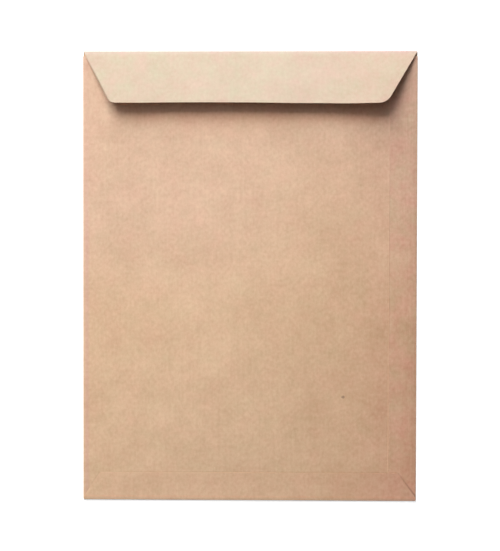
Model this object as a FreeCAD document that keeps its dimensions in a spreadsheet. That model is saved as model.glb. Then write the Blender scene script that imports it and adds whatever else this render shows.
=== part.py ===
import FreeCAD, Part
import math
import os
import Sketcher

# Pocket envelope of brown kraft paper, folded and glued from one sheet, lying on its front panel.
#
# Millimetres, +Z up. +Y runs along the envelope to the fold of its closing flap and +X runs to the
# side with the glued seam. The origin is on the floor, under the middle of the folded outline.
#
# The one sheet goes round like this. The front panel lies on the floor. Its left edge folds over
# into the back panel, its right edge into a narrow seam strip, and the free edge of the back panel
# is glued down on top of that strip. The bottom edge folds up into a short flap glued outside the
# back panel. The top edge folds over into the closing flap, which springs open by itself.

doc = FreeCAD.newDocument("pocket_envelope")
sizes = doc.addObject("Spreadsheet::Sheet", "sizes")

# Driving dimensions, in millimetres and degrees
DRIVING = [
    ("width", 260.0, "between the two side folds"),
    ("height", 350.0, "between the bottom fold and the flap fold"),
    ("paper_gauge", 0.2, "thickness of the paper"),
    ("crease_gap", 0.3, "air left inside a fold pressed flat"),
    ("seam_width", 21.5, "seam strip that shows beside the back panel"),
    ("seam_lap", 12.0, "seam strip glued under the back panel"),
    ("bottom_flap_depth", 21.8, "bottom fold to the bottom flap's free edge"),
    ("bottom_flap_shoulder", 2.0, "bottom fold to the start of the flap's slanted ends"),
    ("bottom_flap_left_slant", 13.0, "how far the left end of the bottom flap slants in"),
    ("bottom_flap_right_slant", 14.5, "how far its right end slants in"),
    ("flap_length", 42.5, "closing flap, along the paper, from its fold"),
    ("flap_angle", 16.0, "slope at which the closing flap leaves its fold"),
    ("flap_curl", 3.0, "how much of that slope it loses on the way to its free edge"),
    ("flap_left_slant", 21.2, "how far the left end of the closing flap slants in"),
    ("flap_right_slant", 24.2, "how far its right end slants in"),
    ("flap_left_corner", 7.0, "radius of the closing flap's left corner"),
    ("flap_right_corner", 11.0, "radius of its right corner"),
    ("throat_depth", 4.0, "flap fold to the mouth edge of the back panel"),
    ("pillow_rise", 3.0, "how far the back panel swells up in the middle"),
    ("mouth_rise", 0.6, "how far its mouth edge arches up"),
]
for row, (alias, size, meaning) in enumerate(DRIVING, start=1):
    sizes.set(f"A{row}", meaning)
    sizes.set(f"B{row}", str(size))
    sizes.setAlias(f"B{row}", alias)
doc.recompute()

# Levels of the paper's faces above the floor, as expressions on the sheet
FLOOR = "0"
FRONT_TOP = "sizes.paper_gauge"
STRIP_UNDER = "(sizes.paper_gauge + sizes.crease_gap)"
STRIP_TOP = "(2 * sizes.paper_gauge + sizes.crease_gap)"
BACK_TOP = "(3 * sizes.paper_gauge + sizes.crease_gap)"
BOTTOM_FLAP_TOP = "(4 * sizes.paper_gauge + sizes.crease_gap)"

# Outer radii of the folds. Each fold wraps the layers that lie inside it.
LEFT_FOLD = f"({BACK_TOP} / 2)"
RIGHT_FOLD = f"({STRIP_TOP} / 2)"
END_FOLD = f"({BOTTOM_FLAP_TOP} / 2)"

# Places across the envelope
LEFT_CREASE = f"(-sizes.width / 2 + {LEFT_FOLD})"
RIGHT_CREASE = f"(sizes.width / 2 - {RIGHT_FOLD})"
SEAM_EDGE = "(sizes.width / 2 - sizes.seam_width)"
LAP_EDGE = f"({SEAM_EDGE} - sizes.seam_lap)"
HALF_STRIP = f"(sizes.width / 2 - {LEFT_FOLD})"

# Places along the envelope
BOTTOM_CREASE = f"(-sizes.height / 2 + {END_FOLD})"
BOTTOM_FLAP_EDGE = "(-sizes.height / 2 + sizes.bottom_flap_depth)"
BOTTOM_SHOULDER = "(-sizes.height / 2 + sizes.bottom_flap_shoulder)"
MOUTH_EDGE = "(sizes.height / 2 - sizes.throat_depth)"
PILLOW_MIDDLE = f"(({BOTTOM_FLAP_EDGE} + {MOUTH_EDGE}) / 2)"
FLAP_CREASE = f"(sizes.height / 2 - {END_FOLD})"

# How a sketch names the points of an edge, and its own origin
POINTS = {"first": 1, "last": 2, "centre": 3}
SKETCH_ORIGIN = (-1, 1)

# A cutting outline runs this far past the paper that it trims
OVERRUN = "(5 * sizes.paper_gauge)"


def number(text):
    """What an expression on the sheet comes to."""
    return float(sizes.evalExpression(text))


def sketch_on(body, name, role, offset=None):
    """A sketch on one of the body's own origin planes, moved along its normal by an expression."""
    sketch = body.newObject("Sketcher::SketchObject", name)
    plane = next(part for part in body.Origin.OriginFeatures if part.Role == role)
    sketch.AttachmentSupport = [(plane, "")]
    sketch.MapMode = "FlatFace"
    if offset:
        sketch.setExpression("AttachmentOffset.Base.z", offset)
    return sketch


def pin(sketch, axis, edge, point, text):
    """Hold one coordinate of a point of the sketch at an expression on the sheet."""
    rule = Sketcher.Constraint(f"Distance{axis}", *SKETCH_ORIGIN, edge, POINTS[point], number(text))
    index = sketch.addConstraint(rule)
    sketch.setExpression(f"Constraints[{index}]", text)


def arc_through(start, end, axis, place, side):
    """An arc between two points, with one coordinate of its centre given.

    It bulges to the left of the way from start to end where side is 1, to the right where it is -1.
    """
    chord = end - start
    middle = (start + end) / 2
    left = FreeCAD.Vector(-chord.y, chord.x, 0).normalize()
    given = 0 if axis == "X" else 1
    centre = middle + left * ((place - middle[given]) / left[given])
    first, last = (end, start) if side > 0 else (start, end)
    angles = [math.atan2(point.y - centre.y, point.x - centre.x) for point in (first, last)]
    if angles[1] < angles[0]:
        angles[1] += 2 * math.pi
    circle = Part.Circle(centre, FreeCAD.Vector(0, 0, 1), centre.distanceToPoint(start))
    return Part.ArcOfCircle(circle, *angles)


def closed_outline(sketch, corners):
    """Draw one closed outline whose every size is held by the sheet.

    A corner is (x, y) before a straight edge, and (x, y, axis, place, side) before an arc whose
    centre has its coordinate on that axis at place.
    """
    points = [FreeCAD.Vector(number(corner[0]), number(corner[1]), 0) for corner in corners]
    edges = []
    for index, corner in enumerate(corners):
        start = points[index]
        end = points[(index + 1) % len(points)]
        if len(corner) == 2:
            edge = sketch.addGeometry(Part.LineSegment(start, end))
            edges.append((edge, "first", "last"))
        else:
            axis, place, side = corner[2:]
            edge = sketch.addGeometry(arc_through(start, end, axis, number(place), side))
            edges.append((edge, "last", "first") if side > 0 else (edge, "first", "last"))
    for index, (edge, first, last) in enumerate(edges):
        following, meeting, _ = edges[(index + 1) % len(edges)]
        sketch.addConstraint(
            Sketcher.Constraint("Coincident", edge, POINTS[last], following, POINTS[meeting]))
        pin(sketch, "X", edge, first, corners[index][0])
        pin(sketch, "Y", edge, first, corners[index][1])
        if len(corners[index]) > 2:
            pin(sketch, corners[index][2], edge, "centre", corners[index][3])


def flap_profile(sketch):
    """Side view of the flap fold and the closing flap, y across and z up."""
    slope = "sizes.flap_angle"
    end_slope = "(sizes.flap_angle - sizes.flap_curl)"
    bend = "(sizes.flap_length * 180 / (pi * sizes.flap_curl))"
    inner = f"({END_FOLD} - sizes.paper_gauge)"
    top_y = f"({FLAP_CREASE} + {END_FOLD} * sin({slope}))"
    top_z = f"({END_FOLD} + {END_FOLD} * cos({slope}))"
    under_y = f"({FLAP_CREASE} + {inner} * sin({slope}))"
    under_z = f"({END_FOLD} + {inner} * cos({slope}))"
    edge_y = f"({top_y} - {bend} * (sin({slope}) - sin({end_slope})))"
    edge_z = f"({top_z} + {bend} * (cos({end_slope}) - cos({slope})))"
    edge_under_y = f"({edge_y} - sizes.paper_gauge * sin({end_slope}))"
    edge_under_z = f"({edge_z} - sizes.paper_gauge * cos({end_slope}))"
    curl_centre = f"({top_z} - {bend} * cos({slope}))"
    closed_outline(sketch, [
        (FLAP_CREASE, FLOOR, "X", FLAP_CREASE, -1),
        (top_y, top_z, "Y", curl_centre, -1),
        (edge_y, edge_z),
        (edge_under_y, edge_under_z, "Y", curl_centre, 1),
        (under_y, under_z, "X", FLAP_CREASE, 1),
        (FLAP_CREASE, FRONT_TOP),
    ])
    return edge_y


def flap_corner(sketch, side, slant, radius, free_edge):
    """What is trimmed off one end of the closing flap, seen from above."""
    depth = f"({FLAP_CREASE} - {free_edge})"
    cut_length = f"sqrt({slant} ^ 2 + {depth} ^ 2)"
    tangent = f"({radius} * ({cut_length} - {slant}) / {depth})"
    corner_x = f"({HALF_STRIP} - {slant})"
    round_x = f"({side} * ({corner_x} + {tangent} * {slant} / {cut_length}))"
    round_y = f"({free_edge} + {tangent} * {depth} / {cut_length})"
    edge_x = f"({side} * ({corner_x} - {tangent}))"
    outside_x = f"({side} * ({HALF_STRIP} + {OVERRUN}))"
    outside_y = f"({free_edge} - {OVERRUN})"
    closed_outline(sketch, [
        (f"({side} * {HALF_STRIP})", FLAP_CREASE),
        (round_x, round_y, "X", edge_x, side),
        (edge_x, free_edge),
        (edge_x, outside_y),
        (outside_x, outside_y),
        (outside_x, FLAP_CREASE),
    ])


def bottom_flap_profile(sketch):
    """Side view of the bottom fold and the bottom flap, y across and z up."""
    closed_outline(sketch, [
        (BOTTOM_CREASE, FRONT_TOP, "X", BOTTOM_CREASE, 1),
        (BOTTOM_CREASE, BACK_TOP),
        (BOTTOM_FLAP_EDGE, BACK_TOP),
        (BOTTOM_FLAP_EDGE, BOTTOM_FLAP_TOP),
        (BOTTOM_CREASE, BOTTOM_FLAP_TOP, "X", BOTTOM_CREASE, -1),
        (BOTTOM_CREASE, FLOOR),
    ])


def bottom_flap_end(sketch, side, slant):
    """What is trimmed off one end of the bottom flap, seen from above."""
    edge_x = f"({side} * ({HALF_STRIP} - {slant}))"
    outside_x = f"({side} * ({HALF_STRIP} + {OVERRUN}))"
    outside_y = f"({BOTTOM_FLAP_EDGE} + {OVERRUN})"
    closed_outline(sketch, [
        (f"({side} * {HALF_STRIP})", BOTTOM_SHOULDER),
        (edge_x, BOTTOM_FLAP_EDGE),
        (edge_x, outside_y),
        (outside_x, outside_y),
        (outside_x, BOTTOM_SHOULDER),
    ])


def left_fold_section(sketch):
    """The left fold cut across, from the front panel's edge up to the back panel's."""
    closed_outline(sketch, [
        (LEFT_CREASE, FLOOR, "X", LEFT_CREASE, 1),
        (LEFT_CREASE, BACK_TOP),
        (LEFT_CREASE, STRIP_TOP, "X", LEFT_CREASE, -1),
        (LEFT_CREASE, FRONT_TOP),
    ])


def seam_section(sketch):
    """The right fold, the seam strip and the lap that is glued on it, cut across."""
    closed_outline(sketch, [
        (RIGHT_CREASE, FRONT_TOP, "X", RIGHT_CREASE, -1),
        (RIGHT_CREASE, STRIP_UNDER),
        (LAP_EDGE, STRIP_UNDER),
        (LAP_EDGE, BACK_TOP),
        (SEAM_EDGE, BACK_TOP),
        (SEAM_EDGE, STRIP_TOP),
        (RIGHT_CREASE, STRIP_TOP, "X", RIGHT_CREASE, 1),
        (RIGHT_CREASE, FLOOR),
    ])


def back_panel_section(sketch, rise=None):
    """The back panel cut across between the left fold and the lap, level or arched up by rise."""

    def corner(x, level, side):
        if not rise:
            return (x, level)
        span = f"({LAP_EDGE} - {LEFT_CREASE})"
        radius = f"(({span} ^ 2 / 4 + {rise} ^ 2) / (2 * {rise}))"
        return (x, level, "Y", f"({level} + {rise} - {radius})", side)

    closed_outline(sketch, [
        corner(LEFT_CREASE, BACK_TOP, 1),
        (LAP_EDGE, BACK_TOP),
        corner(LAP_EDGE, STRIP_TOP, -1),
        (LEFT_CREASE, STRIP_TOP),
    ])


def strip_pad(body, name, profile):
    """Run a side view across the whole envelope, out to the creases of its side folds."""
    pad = body.newObject("PartDesign::Pad", name)
    pad.Profile = (profile, [""])
    pad.SideType = "Symmetric"
    pad.setExpression("Length", f"2 * {HALF_STRIP}")


def lengthwise_pad(body, name, profile, start, end):
    """Run a section, drawn at start, along the envelope to end."""
    pad = body.newObject("PartDesign::Pad", name)
    pad.Profile = (profile, [""])
    pad.Reversed = True
    pad.setExpression("Length", f"{end} - {start}")


def trim(body, name, outline):
    """Cut an outline seen from above right through what the body holds so far."""
    doc.recompute()
    before = body.Shape.Volume
    cut = body.newObject("PartDesign::Pocket", name)
    cut.Profile = (outline, [""])
    cut.SideType = "Symmetric"
    cut.Type = "ThroughAll"
    doc.recompute()
    if not body.Shape.Volume < before:
        raise SystemExit(f"{name} cuts nothing")


envelope = doc.addObject("PartDesign::Body", "envelope")
envelope.Label = "envelope"
envelope.AllowCompound = True

# Closing flap, with its fold. Its ends are trimmed before there is anything under it.
side_view = sketch_on(envelope, "flap_side_view", "YZ_Plane")
flap_edge = flap_profile(side_view)
strip_pad(envelope, "closing_flap", side_view)
for side, end in ((-1, "left"), (1, "right")):
    outline = sketch_on(envelope, f"flap_{end}_corner_outline", "XY_Plane")
    flap_corner(outline, side, f"sizes.flap_{end}_slant", f"sizes.flap_{end}_corner", flap_edge)
    trim(envelope, f"flap_{end}_corner_cut", outline)

# Bottom flap, with its fold
side_view = sketch_on(envelope, "bottom_flap_side_view", "YZ_Plane")
bottom_flap_profile(side_view)
strip_pad(envelope, "bottom_flap", side_view)
for side, end in ((-1, "left"), (1, "right")):
    outline = sketch_on(envelope, f"bottom_flap_{end}_end_outline", "XY_Plane")
    bottom_flap_end(outline, side, f"sizes.bottom_flap_{end}_slant")
    trim(envelope, f"bottom_flap_{end}_end_cut", outline)

# Front panel, between the creases of its four folds
front_outline = sketch_on(envelope, "front_panel_outline", "XY_Plane")
closed_outline(front_outline, [
    (LEFT_CREASE, BOTTOM_CREASE),
    (RIGHT_CREASE, BOTTOM_CREASE),
    (RIGHT_CREASE, FLAP_CREASE),
    (LEFT_CREASE, FLAP_CREASE),
])
front_panel = envelope.newObject("PartDesign::Pad", "front_panel")
front_panel.Profile = (front_outline, [""])
front_panel.setExpression("Length", "sizes.paper_gauge")

# Side folds, from the bottom fold to the mouth. The right one runs on into the seam strip.
section = sketch_on(envelope, "left_fold_section", "XZ_Plane", f"-{BOTTOM_CREASE}")
left_fold_section(section)
lengthwise_pad(envelope, "left_fold", section, BOTTOM_CREASE, MOUTH_EDGE)
section = sketch_on(envelope, "seam_section", "XZ_Plane", f"-{BOTTOM_CREASE}")
seam_section(section)
lengthwise_pad(envelope, "glued_seam", section, BOTTOM_CREASE, MOUTH_EDGE)

# Back panel. It is level under the bottom flap, and swells a little from there to the mouth.
section = sketch_on(envelope, "back_panel_end_section", "XZ_Plane", f"-{BOTTOM_CREASE}")
back_panel_section(section)
lengthwise_pad(envelope, "back_panel_end", section, BOTTOM_CREASE, BOTTOM_FLAP_EDGE)
pillow_sections = []
for name, along, rise in (
    ("pillow_start", BOTTOM_FLAP_EDGE, None),
    ("pillow_middle", PILLOW_MIDDLE, "sizes.pillow_rise"),
    ("pillow_mouth", MOUTH_EDGE, "sizes.mouth_rise"),
):
    section = sketch_on(envelope, name, "XZ_Plane", f"-{along}")
    back_panel_section(section, rise)
    pillow_sections.append((section, [""]))
back_panel = envelope.newObject("PartDesign::AdditiveLoft", "back_panel")
back_panel.Profile = pillow_sections[0]
back_panel.Sections = pillow_sections[1:]
doc.recompute()

failed = [part.Name for part in doc.Objects if "Invalid" in part.State or "Error" in part.State]
if failed:
    raise SystemExit(f"failed objects: {failed}")
solid = envelope.Shape
if solid.isNull() or not solid.isValid() or len(solid.Solids) != 1:
    raise SystemExit("the envelope is not one valid solid")

os.makedirs("parts", exist_ok=True)
solid.exportStep(f"parts/{envelope.Label}.step")
box = solid.BoundBox
print(f"{envelope.Label}: {box.XLength:.2f} x {box.YLength:.2f} x {box.ZLength:.2f} mm, "
      f"{solid.Volume:.0f} mm3, {len(solid.Faces)} faces")
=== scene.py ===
# %% [markdown]
# # A kraft paper pocket envelope
#
# The object is one sheet of brown paper, folded and glued into a flat pocket. It lies on its front
# panel, with the seam, the glued bottom flap and the springy closing flap up. This lesson folds the
# sheet as a mesh, gives the paper its thickness, and then makes the paper itself with nodes.
#
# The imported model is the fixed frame. Everything here is in metres, in the frame's own axes: +Y runs
# along the envelope to the fold of its closing flap, +X to the side with the seam, and +Z is up.

import math
from functools import partial
from types import SimpleNamespace

import bmesh
import bpy
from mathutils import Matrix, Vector


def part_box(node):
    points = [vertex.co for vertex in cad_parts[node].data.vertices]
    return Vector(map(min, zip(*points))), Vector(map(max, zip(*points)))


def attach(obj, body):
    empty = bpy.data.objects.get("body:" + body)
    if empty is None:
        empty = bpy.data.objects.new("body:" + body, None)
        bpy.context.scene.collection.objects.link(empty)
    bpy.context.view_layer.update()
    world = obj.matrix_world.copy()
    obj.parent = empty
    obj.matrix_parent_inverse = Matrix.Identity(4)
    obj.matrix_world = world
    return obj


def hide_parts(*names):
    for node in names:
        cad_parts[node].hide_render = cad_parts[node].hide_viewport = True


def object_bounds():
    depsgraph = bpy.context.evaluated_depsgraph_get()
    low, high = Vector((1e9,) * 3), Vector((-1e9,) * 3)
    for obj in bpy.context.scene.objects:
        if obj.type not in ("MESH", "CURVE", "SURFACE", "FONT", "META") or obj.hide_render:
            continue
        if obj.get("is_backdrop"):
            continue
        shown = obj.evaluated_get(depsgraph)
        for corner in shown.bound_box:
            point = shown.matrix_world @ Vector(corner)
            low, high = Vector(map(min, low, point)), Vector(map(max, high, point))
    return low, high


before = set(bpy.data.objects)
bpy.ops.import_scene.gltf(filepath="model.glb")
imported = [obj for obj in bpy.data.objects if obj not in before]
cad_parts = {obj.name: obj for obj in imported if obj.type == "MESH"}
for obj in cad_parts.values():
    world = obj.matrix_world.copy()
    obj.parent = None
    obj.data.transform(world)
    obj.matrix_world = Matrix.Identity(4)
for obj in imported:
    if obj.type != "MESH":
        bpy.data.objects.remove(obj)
cad_box = [list(corner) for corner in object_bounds()]
print("frame box", cad_box)

# %% [markdown]
# ## Sizes
#
# The outer size comes from the frame. What the frame's box can't say, such as how wide the seam strip
# is, is a named size, the same as in the construction. A flap's length is measured along the paper
# from its crease, and each of its ends by how far it slants in. Each layer of paper then has a level:
# the height of the middle of its thickness above the floor. A fold wraps the layers inside it, so
# its radius is half the distance between the two layers that it joins.

# %% Sizes of the folded sheet
MM = 0.001
low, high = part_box("envelope")
WIDTH = high.x - low.x
HEIGHT = high.y - low.y

GAUGE = 0.2 * MM
CREASE_GAP = 0.3 * MM
SEAM_WIDTH = 21.5 * MM
SEAM_LAP = 12 * MM
THROAT_DEPTH = 4 * MM

BOTTOM_FLAP = {"length": 21.3 * MM, "shoulder": 2 * MM, "left": 13 * MM, "right": 14.5 * MM,
               "left_corner": 1.5 * MM, "right_corner": 2.5 * MM}
CLOSING_FLAP = {"length": 42.5 * MM, "shoulder": 0.0, "left": 21.2 * MM, "right": 24.2 * MM,
                "left_corner": 7 * MM, "right_corner": 11 * MM}
FLAP_ANGLE = math.radians(16)
FLAP_CURL = math.radians(3)

FRONT_LEVEL = GAUGE / 2
STRIP_LEVEL = FRONT_LEVEL + GAUGE + CREASE_GAP
BACK_LEVEL = STRIP_LEVEL + GAUGE
BOTTOM_FLAP_LEVEL = BACK_LEVEL + GAUGE

LEFT_CREASE = low.x + (BACK_LEVEL + GAUGE / 2) / 2
RIGHT_CREASE = high.x - (STRIP_LEVEL + GAUGE / 2) / 2
BOTTOM_CREASE = low.y + (BOTTOM_FLAP_LEVEL + GAUGE / 2) / 2
FLAP_CREASE = high.y - (BOTTOM_FLAP_LEVEL + GAUGE / 2) / 2
SEAM_EDGE = high.x - SEAM_WIDTH
LAP_EDGE = SEAM_EDGE - SEAM_LAP
MOUTH_EDGE = high.y - THROAT_DEPTH
BOTTOM_FLAP_EDGE = BOTTOM_CREASE + BOTTOM_FLAP["length"]
print(f"outline {WIDTH / MM:.1f} x {HEIGHT / MM:.1f} mm, seam edge at x {SEAM_EDGE / MM:.1f} mm")

# %% [markdown]
# ## Selecting in code
#
# By hand, one would click on an edge of the paper and extrude it. In a script the click becomes a
# test on where an edge lies. These helpers do that, and every fold below uses them. Loading the frame
# leaves its nodes selected, so everything is deselected before the first new mesh is added.

# %% Helpers for edit mode
NEAR = 0.01 * MM


def near(a, b):
    """Whether two places are the same, to a hundredth of a millimetre."""
    return abs(a - b) < NEAR


def select_edges(sheet, test):
    """Select the edges whose two ends both pass a test on their place."""
    bpy.ops.mesh.select_all(action="DESELECT")
    mesh = bmesh.from_edit_mesh(sheet.data)
    for edge in mesh.edges:
        if all(test(vertex.co) for vertex in edge.verts):
            edge.select_set(True)
    bmesh.update_edit_mesh(sheet.data)


def chosen_span(sheet):
    """The lowest and highest x of the selected vertices."""
    mesh = bmesh.from_edit_mesh(sheet.data)
    across = [vertex.co.x for vertex in mesh.verts if vertex.select]
    return min(across), max(across)


print(f"places count as the same within {NEAR / MM:.2f} mm")

# %% [markdown]
# ## The front panel
#
# The front panel is the whole width of the envelope and lies on the floor. It is a grid, because the
# later panels grow out of its edges and take over its rows, and because soft waves need points to
# bend at. It is cut once more, at the mouth of the pocket and at the edge of the bottom flap, so that
# those lines are real rows of the mesh.

# %% Add the front panel
ROW = 3.2 * MM

bpy.ops.object.select_all(action="DESELECT")
columns = round((RIGHT_CREASE - LEFT_CREASE) / ROW)
rows = round((FLAP_CREASE - BOTTOM_CREASE) / ROW)
bpy.ops.mesh.primitive_grid_add(x_subdivisions=columns, y_subdivisions=rows, size=1)
sheet = bpy.context.object
sheet.name = "folded_kraft_sheet"
bpy.ops.object.mode_set(mode="EDIT")
bpy.ops.mesh.select_mode(type="EDGE")
bpy.ops.transform.resize(value=(RIGHT_CREASE - LEFT_CREASE, FLAP_CREASE - BOTTOM_CREASE, 1))
bpy.ops.transform.translate(value=(
    (LEFT_CREASE + RIGHT_CREASE) / 2, (BOTTOM_CREASE + FLAP_CREASE) / 2, FRONT_LEVEL))
for line in (MOUTH_EDGE, BOTTOM_FLAP_EDGE):
    bpy.ops.mesh.select_all(action="SELECT")
    bpy.ops.mesh.bisect(plane_co=(0, line, 0), plane_no=(0, 1, 0))
print("front panel", columns, "by", rows, "squares")

# %% [markdown]
# ## The side folds and the back panel
#
# Spinning an edge by half a turn makes a fold: the paper goes round a very small roll and comes back
# one layer higher. The left fold carries on into the back panel, which is extruded to the right in
# two steps, first to where the hidden edge of the seam strip lies and then to its own free edge. The
# right fold carries on into the seam strip, which ends under the back panel. The rows stop at the
# mouth of the pocket. Extruding makes one long strip of faces, and subdividing the edges that run
# across it gives the panel its columns.

# %% Fold the sides
FOLD_STEPS = 6


def fold_side(crease, level, turn):
    """Fold the paper up and over a side crease, to a level. turn is -1 at the left, 1 at the right."""
    select_edges(sheet, lambda place: near(place.x, crease) and near(place.z, FRONT_LEVEL)
                 and place.y < MOUTH_EDGE + NEAR)
    bpy.ops.mesh.spin(steps=FOLD_STEPS, angle=math.pi, axis=(0, turn, 0),
                      center=(crease, 0, (FRONT_LEVEL + level) / 2))


def run_across(start, end, level):
    """Extrude the selected edge of the paper from start to end, and divide the new panel."""
    bpy.ops.mesh.extrude_region_move(TRANSFORM_OT_translate={"value": (end - start, 0, 0)})
    between = (min(start, end) - NEAR, max(start, end) + NEAR)
    mesh = bmesh.from_edit_mesh(sheet.data)
    bpy.ops.mesh.select_all(action="DESELECT")
    for edge in mesh.edges:
        ends = [vertex.co for vertex in edge.verts]
        level_edge = all(near(place.z, level) and between[0] < place.x < between[1] for place in ends)
        if level_edge and abs(ends[0].x - ends[1].x) > abs(end - start) / 2:
            edge.select_set(True)
    cuts = max(round(abs(end - start) / ROW) - 1, 1)
    bpy.ops.mesh.subdivide(number_cuts=cuts)
    select_edges(sheet, lambda place: near(place.x, end) and near(place.z, level))


fold_side(LEFT_CREASE, BACK_LEVEL, -1)
run_across(LEFT_CREASE, LAP_EDGE, BACK_LEVEL)
run_across(LAP_EDGE, SEAM_EDGE, BACK_LEVEL)
fold_side(RIGHT_CREASE, STRIP_LEVEL, 1)
run_across(RIGHT_CREASE, LAP_EDGE, STRIP_LEVEL)
print("with the sides folded", len(bmesh.from_edit_mesh(sheet.data).faces), "faces")

# %% [markdown]
# ## The two end flaps
#
# Both flaps are folded over in the same way and then extruded row by row, so that each new row can be
# narrowed to the flap's outline: straight for the shoulder, slanted at the ends, and rounded at the
# corners, where a circle meets the slanted cut and the free edge. The rows crowd together near the
# free edge, because the round turns fastest there.

# %% Outline of a flap
CORNER_ROWS = 7


def end_inset(flap, end, along):
    """How far inside its crease a flap's end lies, at a distance along the paper from the crease."""
    depth = flap["length"] - flap["shoulder"]
    slant = flap[end]
    radius = flap[end + "_corner"]
    cut = math.hypot(slant, depth)
    tangent = radius * (cut - slant) / depth
    beyond = along - flap["shoulder"]
    if beyond < depth - tangent * depth / cut:
        return slant * max(beyond, 0.0) / depth
    past_centre = min(beyond - (depth - radius), radius)
    return slant + tangent - math.sqrt(radius ** 2 - past_centre ** 2)


def flap_rows(flap):
    """Distances of a flap's rows from its crease."""
    radius = max(flap["left_corner"], flap["right_corner"])
    plain = flap["length"] - radius
    count = max(round((plain - flap["shoulder"]) / ROW), 2)
    even = [flap["shoulder"] + (plain - flap["shoulder"]) * step / count for step in range(1, count + 1)]
    turns = [math.radians(90) * step / CORNER_ROWS for step in range(1, CORNER_ROWS + 1)]
    start = [flap["shoulder"]] if flap["shoulder"] else []
    return start + even + [plain + radius * math.sin(turn) for turn in turns]


print("closing flap rows", [round(row / MM, 1) for row in flap_rows(CLOSING_FLAP)])

# %% [markdown]
# ## Folding the flaps
#
# The bottom flap is folded right over, by half a turn, and lies level on the wall. The closing flap's
# fold stops 16 degrees short of that, so the flap stands open, and its paper levels out by 3 degrees
# on the way to its free edge. So each row is extruded at the slope that the paper has half-way to it.
# A whole flap could be extruded at once and turned about its fold, but it would be a stiff board.

# %% Fold the two flaps
def fold_end(crease, level, angle, turn):
    """Fold the paper up and over an end crease. turn is -1 at the flap fold, 1 at the bottom."""
    select_edges(sheet, lambda place: near(place.y, crease) and near(place.z, FRONT_LEVEL))
    bpy.ops.mesh.spin(steps=FOLD_STEPS, angle=angle, axis=(turn, 0, 0),
                      center=(0, crease, (FRONT_LEVEL + level) / 2))


def run_flap(flap, toward, slope_at):
    """Extrude a flap row by row towards -Y or +Y, narrowed to its outline, at the paper's slope."""
    left, right = chosen_span(sheet)
    done = 0.0
    for along in flap_rows(flap):
        step = along - done
        slope = slope_at((along + done) / 2)
        move = (0, toward * step * math.cos(slope), step * math.sin(slope))
        bpy.ops.mesh.extrude_region_move(TRANSFORM_OT_translate={"value": move})
        now_left, now_right = chosen_span(sheet)
        new_left = left + end_inset(flap, "left", along)
        new_right = right - end_inset(flap, "right", along)
        stretch = (new_right - new_left) / (now_right - now_left)
        bpy.ops.transform.resize(value=(stretch, 1, 1), center_override=(0, 0, 0))
        bpy.ops.transform.translate(value=(new_left - now_left * stretch, 0, 0))
        done = along


fold_end(BOTTOM_CREASE, BOTTOM_FLAP_LEVEL, math.pi, 1)
run_flap(BOTTOM_FLAP, 1, lambda along: 0.0)
fold_end(FLAP_CREASE, BOTTOM_FLAP_LEVEL, math.pi - FLAP_ANGLE, -1)
run_flap(CLOSING_FLAP, -1, lambda along: FLAP_ANGLE - FLAP_CURL * along / CLOSING_FLAP["length"])
bpy.ops.mesh.select_all(action="SELECT")
bpy.ops.mesh.remove_doubles(threshold=NEAR)
bpy.ops.mesh.normals_make_consistent(inside=False)
bpy.ops.object.mode_set(mode="OBJECT")
highest = max(vertex.co.z for vertex in sheet.data.vertices)
print("folded sheet", len(sheet.data.polygons), "faces, free edge at", round(highest / MM, 2), "mm")

# %% [markdown]
# ## Unfolding the sheet
#
# The pattern of the paper was there before the paper was folded: it runs round the folds, and it
# breaks off at the free edges. So the paper's own UV map is the flat blank, in metres. The fold radii
# are tiny, so each place on the folded sheet is unrolled with a few sums: along a fold, the way is
# the height climbed times a quarter turn, and behind it a panel runs back the way it came.

# %% UV map of the flat blank
FOLD_WAY = math.pi / 2


def blank_place(place):
    """Where a place on the folded sheet lies on the flat blank."""
    across, along = place.x, place.y
    climbed = (place.z - FRONT_LEVEL) * FOLD_WAY
    flap_start = (BOTTOM_FLAP_LEVEL - FRONT_LEVEL) * FOLD_WAY
    if place.y > MOUTH_EDGE + NEAR or place.z > BOTTOM_FLAP_LEVEL + NEAR:
        if place.z > BOTTOM_FLAP_LEVEL - NEAR:
            past_fold = math.hypot(place.y - FLAP_CREASE, place.z - BOTTOM_FLAP_LEVEL)
            along = FLAP_CREASE + flap_start + past_fold
        elif place.y > FLAP_CREASE:
            along = FLAP_CREASE + climbed
    elif place.y < BOTTOM_CREASE - NEAR or near(place.z, BOTTOM_FLAP_LEVEL):
        along = BOTTOM_CREASE - climbed - max(place.y - BOTTOM_CREASE, 0)
    elif place.x > RIGHT_CREASE + NEAR or near(place.z, STRIP_LEVEL):
        across = RIGHT_CREASE + climbed + max(RIGHT_CREASE - place.x, 0)
    elif place.x < LEFT_CREASE - NEAR or near(place.z, BACK_LEVEL):
        across = LEFT_CREASE - climbed - max(place.x - LEFT_CREASE, 0)
    return across, along


folded = [vertex.co.copy() for vertex in sheet.data.vertices]
on_blank = [blank_place(place) for place in folded]
blank_map = sheet.data.uv_layers.new(name="blank")
for loop in sheet.data.loops:
    blank_map.data[loop.index].uv = on_blank[loop.vertex_index]
blank_width = max(place[0] for place in on_blank) - min(place[0] for place in on_blank)
blank_height = max(place[1] for place in on_blank) - min(place[1] for place in on_blank)
print(f"flat blank {blank_width / MM:.1f} x {blank_height / MM:.1f} mm")

# %% [markdown]
# ## How the paper lies
#
# Paper that is folded flat is never quite flat. The back wall swells over the air inside, it rolls
# down to its side folds, and the loose flap waves. A Displace modifier lifts each point by the share
# that its vertex group gives it, and a formula on the point's place paints that group, which is
# easier to repeat than proportional editing by hand. The layers of the back wall move as one,
# because they are glued. The front panel stays on the floor.

# %% Helpers for soft forms
def ease(value):
    """0 below 0, 1 above 1, and a smooth way between."""
    value = min(max(value, 0.0), 1.0)
    return value * value * (3 - 2 * value)


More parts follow.
